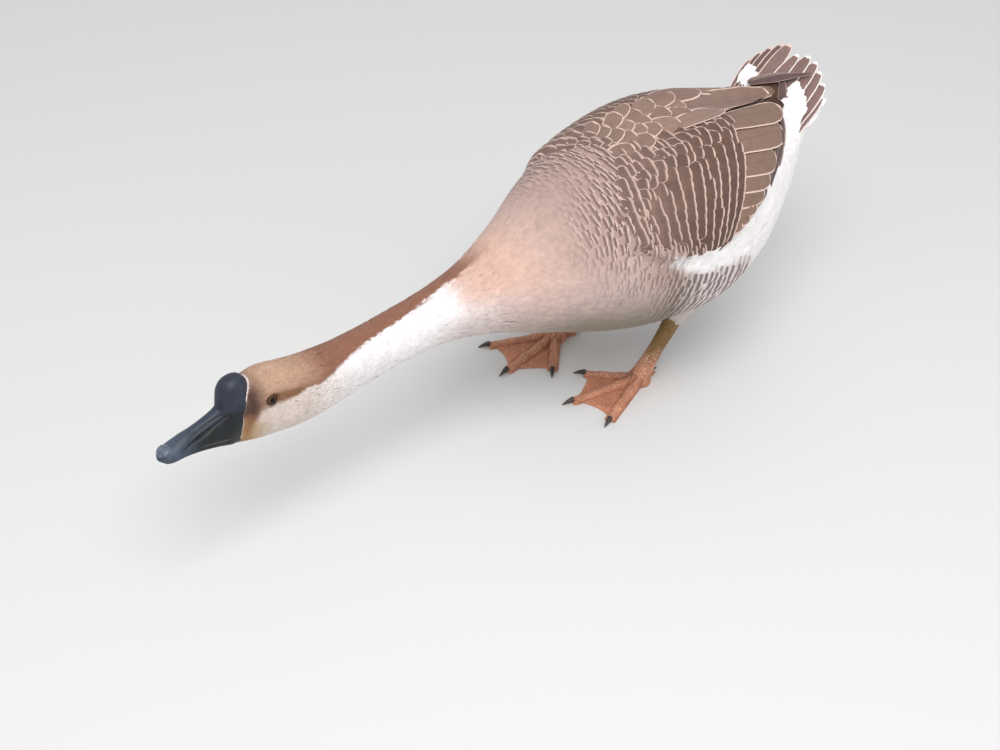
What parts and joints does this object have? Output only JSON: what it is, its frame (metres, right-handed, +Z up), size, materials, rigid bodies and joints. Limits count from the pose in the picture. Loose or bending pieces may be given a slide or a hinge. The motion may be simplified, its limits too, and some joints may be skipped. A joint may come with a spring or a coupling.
{
  "type": "domestic goose model",
  "caption": "Still life-size model of a brown knobbed goose, walking with its neck stretched low, for display or as a scene figure.",
  "frame": {"origin": "middle of the model's footprint box, on the floor plane that the soles rest on", "axes": "+Z up; the goose faces -Y and its left side is +X"},
  "size_m": [0.2312, 0.8204, 0.29],
  "materials": {
    "crown_feathers": "soft, short dense feathers, tan brown",
    "neck_feathers": "soft short feathers, white in front and chestnut behind",
    "breast_feathers": "soft feathers, pinkish buff",
    "body_feathers": "layered feathers, taupe brown with cream edges",
    "rump_feathers": "soft white feathers",
    "wing_feathers": "firm vanes, brown with cream edges",
    "tail_feathers": "firm vanes, brown with white edges",
    "bill_horn": "satin, slate grey horn",
    "nail_horn": "satin, pale slate horn",
    "eye": "gloss, brown iris and dark pupil",
    "leg_skin": "satin, orange brown scaled skin",
    "claw_horn": "satin, dark horn"
  },
  "bodies": {
    "root": {"bill_lower": "bill_horn", "bill_nail": "nail_horn", "bill_upper": "bill_horn", "breast": "breast_feathers", "claw_left_hind": "claw_horn", "claw_left_inner": "claw_horn", "claw_left_middle": "claw_horn", "claw_left_outer": "claw_horn", "claw_right_hind": "claw_horn", "claw_right_inner": "claw_horn", "claw_right_middle": "claw_horn", "claw_right_outer": "claw_horn", "eye_left": "eye", "eye_right": "eye", "foot_left": "leg_skin", "foot_right": "leg_skin", "head": "crown_feathers", "knob": "bill_horn", "neck_lower": "neck_feathers", "neck_upper": "neck_feathers", "rump": "rump_feathers", "shank_left": "leg_skin", "shank_right": "leg_skin", "tail": "tail_feathers", "thigh_left": "breast_feathers", "thigh_right": "breast_feathers", "trunk": "body_feathers", "wing_coverts_left": "wing_feathers", "wing_coverts_right": "wing_feathers", "wing_primaries_left": "wing_feathers", "wing_primaries_right": "wing_feathers", "wing_secondaries_left": "wing_feathers", "wing_secondaries_right": "wing_feathers"}
  },
  "joints": []
}
